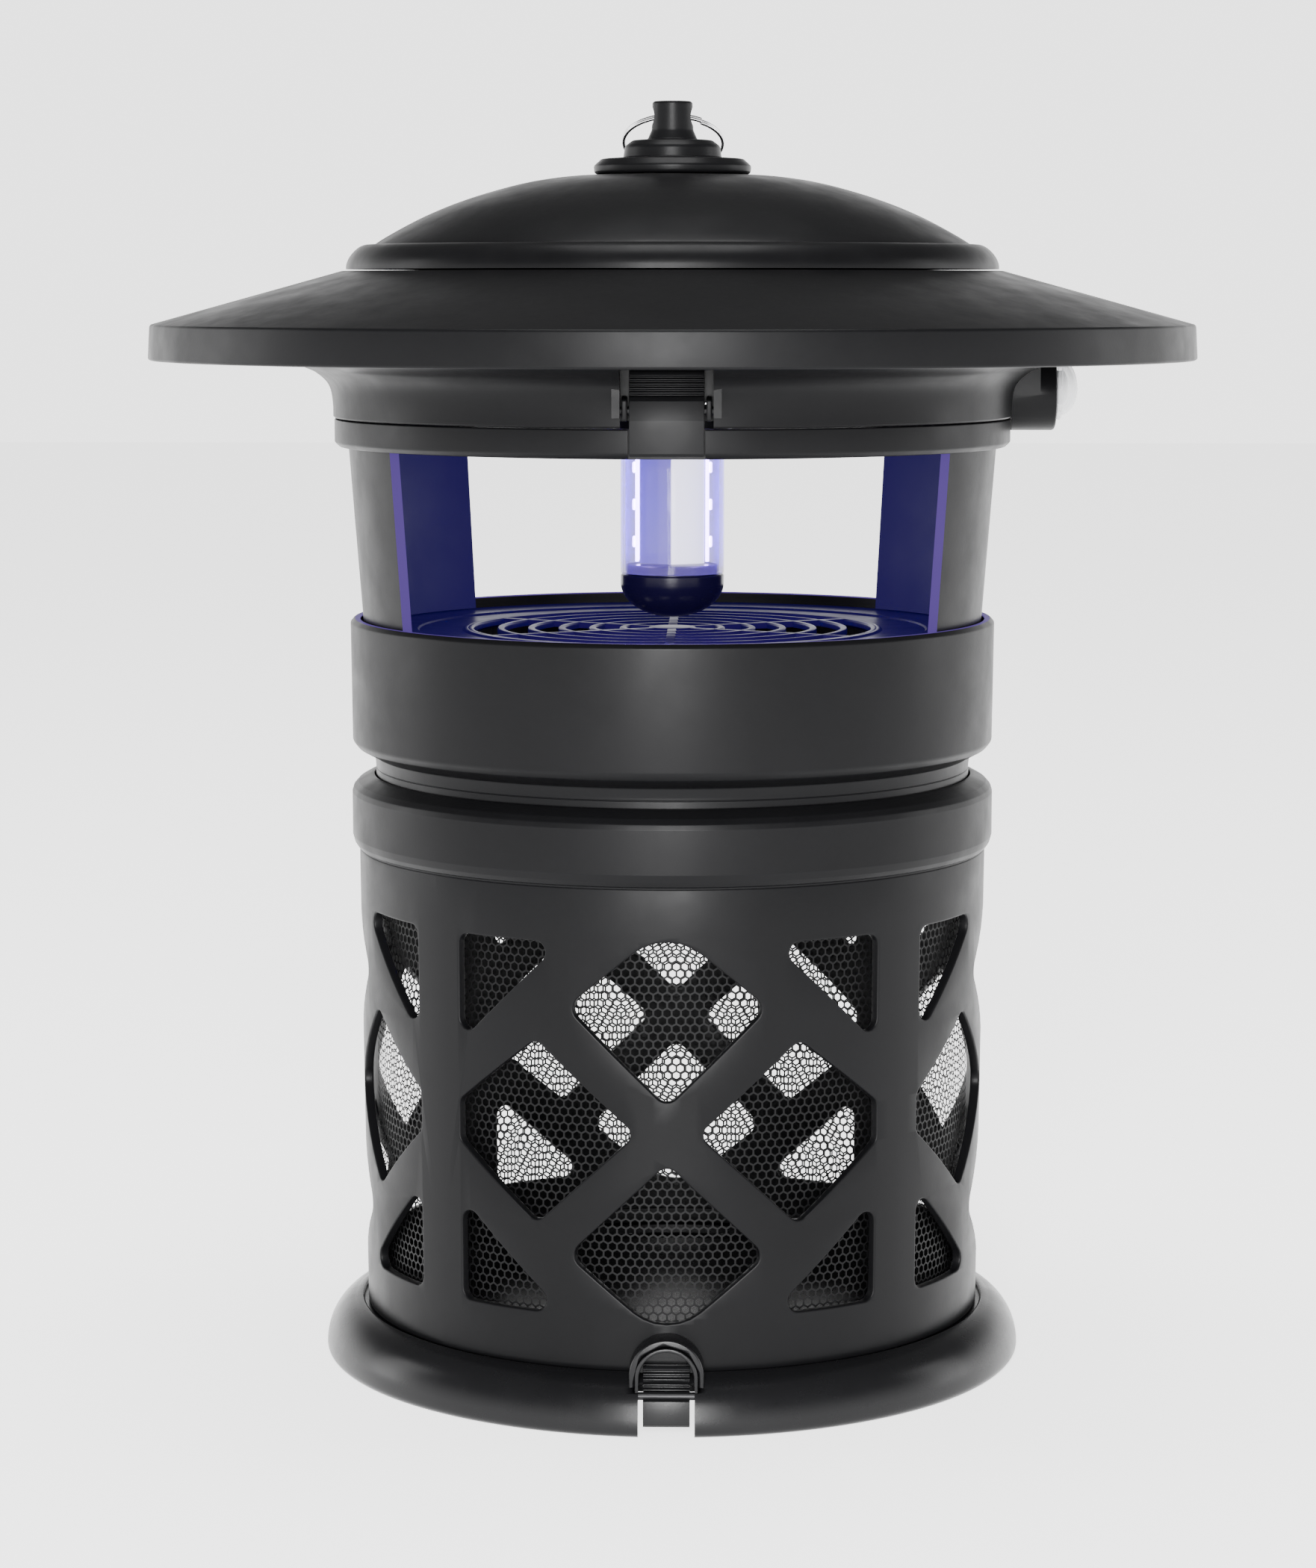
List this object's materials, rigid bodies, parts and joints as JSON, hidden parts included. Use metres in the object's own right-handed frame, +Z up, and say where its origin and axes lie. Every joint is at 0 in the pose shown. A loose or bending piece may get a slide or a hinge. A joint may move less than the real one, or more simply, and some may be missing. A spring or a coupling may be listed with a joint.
{
  "type": "electric bug zapper",
  "caption": "Hanging outdoor insect trap: wide canopy and dome over a violet lamp, suction fan below it, and a lattice catch cage with a hinged floor.",
  "frame": {"origin": "centre of the base ring's foot, on the surface that the trap stands on", "axes": "+Z up, -Y towards the front with the clip and latch, +X towards the side with the switch"},
  "size_m": [0.268, 0.268, 0.3248],
  "materials": {
    "charcoal_plastic": "satin",
    "base_plastic": "glossy",
    "mesh_steel": "matt black",
    "grille_navy": "satin",
    "lamp_clear": "clear",
    "cap_black": "glossy",
    "core_aluminium": "satin",
    "board_lit": "satin",
    "base_white": "satin",
    "connector_black": "matt",
    "wire_black": "matt",
    "motor_metal": "satin",
    "rotor_plastic": "satin",
    "bright_steel": "satin",
    "dark_steel": "satin",
    "ring_steel": "bright",
    "gasket_rubber": "matt",
    "boot_clear": "clear",
    "button_grey": "satin",
    "board_green": "satin",
    "transformer_tape": "satin",
    "can_blue": "glossy"
  },
  "bodies": {
    "cage": {"base_ring": "base_plastic", "door_hinge_pin": "dark_steel", "latch_pin": "dark_steel", "cage_shell": "charcoal_plastic", "mesh_basket": "mesh_steel"},
    "bottom_door": {"bottom_door": "base_plastic"},
    "bottom_latch": {"bottom_latch": "base_plastic"},
    "fan_unit": {"fan_collar": "charcoal_plastic", "fan_grille": "grille_navy", "fan_duct": "charcoal_plastic", "fan_motor": "motor_metal", "bearing_lower": "bright_steel", "bearing_upper": "bright_steel", "window_frame": "charcoal_plastic", "wire_channel": "charcoal_plastic", "fan_socket": "connector_black", "fan_wires": "wire_black"},
    "fan_rotor": {"fan_rotor": "rotor_plastic", "rotor_shaft": "bright_steel"},
    "lid": {"lid_housing": "charcoal_plastic", "roof_canopy": "charcoal_plastic", "roof_gasket": "gasket_rubber", "dome_cap": "charcoal_plastic", "finial": "charcoal_plastic", "finial_nut": "bright_steel", "lid_screw_1": "bright_steel", "lid_screw_2": "bright_steel", "lid_screw_3": "bright_steel", "lid_screw_4": "bright_steel", "lamp_sleeve": "lamp_clear", "lamp_end_cap": "cap_black", "led_core": "core_aluminium", "led_board_1": "board_lit", "led_board_2": "board_lit", "lamp_base": "base_white", "lamp_holder": "charcoal_plastic", "driver_board": "board_green", "driver_transformer": "transformer_tape", "driver_capacitor": "can_blue", "fan_plug": "connector_black", "cable_gland": "connector_black", "switch_body": "connector_black", "switch_boot": "boot_clear", "lid_clip_front_pin": "dark_steel", "lid_clip_rear_pin": "dark_steel", "clip_spring_front": "bright_steel", "clip_spring_rear": "bright_steel"},
    "lid_clip_front": {"lid_clip_front": "charcoal_plastic"},
    "lid_clip_rear": {"lid_clip_rear": "charcoal_plastic"},
    "power_button": {"power_button": "button_grey"},
    "hanger_ring": {"hanger_ring": "ring_steel"}
  },
  "joints": [
    {"name": "fan_unit_lift", "type": "slide", "parent": "cage", "child": "fan_unit", "axis": [0, 0, 1], "range_m": [0, 0.06]},
    {"name": "lid_lift", "type": "slide", "parent": "fan_unit", "child": "lid", "axis": [0, 0, 1], "range_m": [0, 0.08]},
    {"name": "fan_spin", "type": "hinge", "parent": "fan_unit", "child": "fan_rotor", "pos_m": [0, 0, 0.1754], "axis": [0, 0, 1], "continuous": true},
    {"name": "bottom_door_hinge", "type": "hinge", "parent": "cage", "child": "bottom_door", "pos_m": [0, 0.08, 0.007], "axis": [1, 0, 0], "range_deg": [0, 100]},
    {"name": "bottom_latch_press", "type": "hinge", "parent": "cage", "child": "bottom_latch", "pos_m": [0, -0.0866, 0.0096], "axis": [-1, 0, 0], "range_deg": [0, 8], "stiffness_Nm_per_rad": 0.05},
    {"name": "lid_clip_front_press", "type": "hinge", "parent": "lid", "child": "lid_clip_front", "pos_m": [0, -0.0842, 0.2486], "axis": [-1, 0, 0], "range_deg": [0, 5], "stiffness_Nm_per_rad": 0.05},
    {"name": "lid_clip_rear_press", "type": "hinge", "parent": "lid", "child": "lid_clip_rear", "pos_m": [0, 0.0842, 0.2486], "axis": [1, 0, 0], "range_deg": [0, 5], "stiffness_Nm_per_rad": 0.05},
    {"name": "power_button_press", "type": "slide", "parent": "lid", "child": "power_button", "axis": [-1, 0, 0], "range_m": [0, 0.0015], "stiffness_N_per_m": 400},
    {"name": "hanger_ring_swing", "type": "hinge", "parent": "lid", "child": "hanger_ring", "pos_m": [0, 0, 0.3209], "axis": [1, 0, 0], "range_deg": [0, 236]}
  ]
}
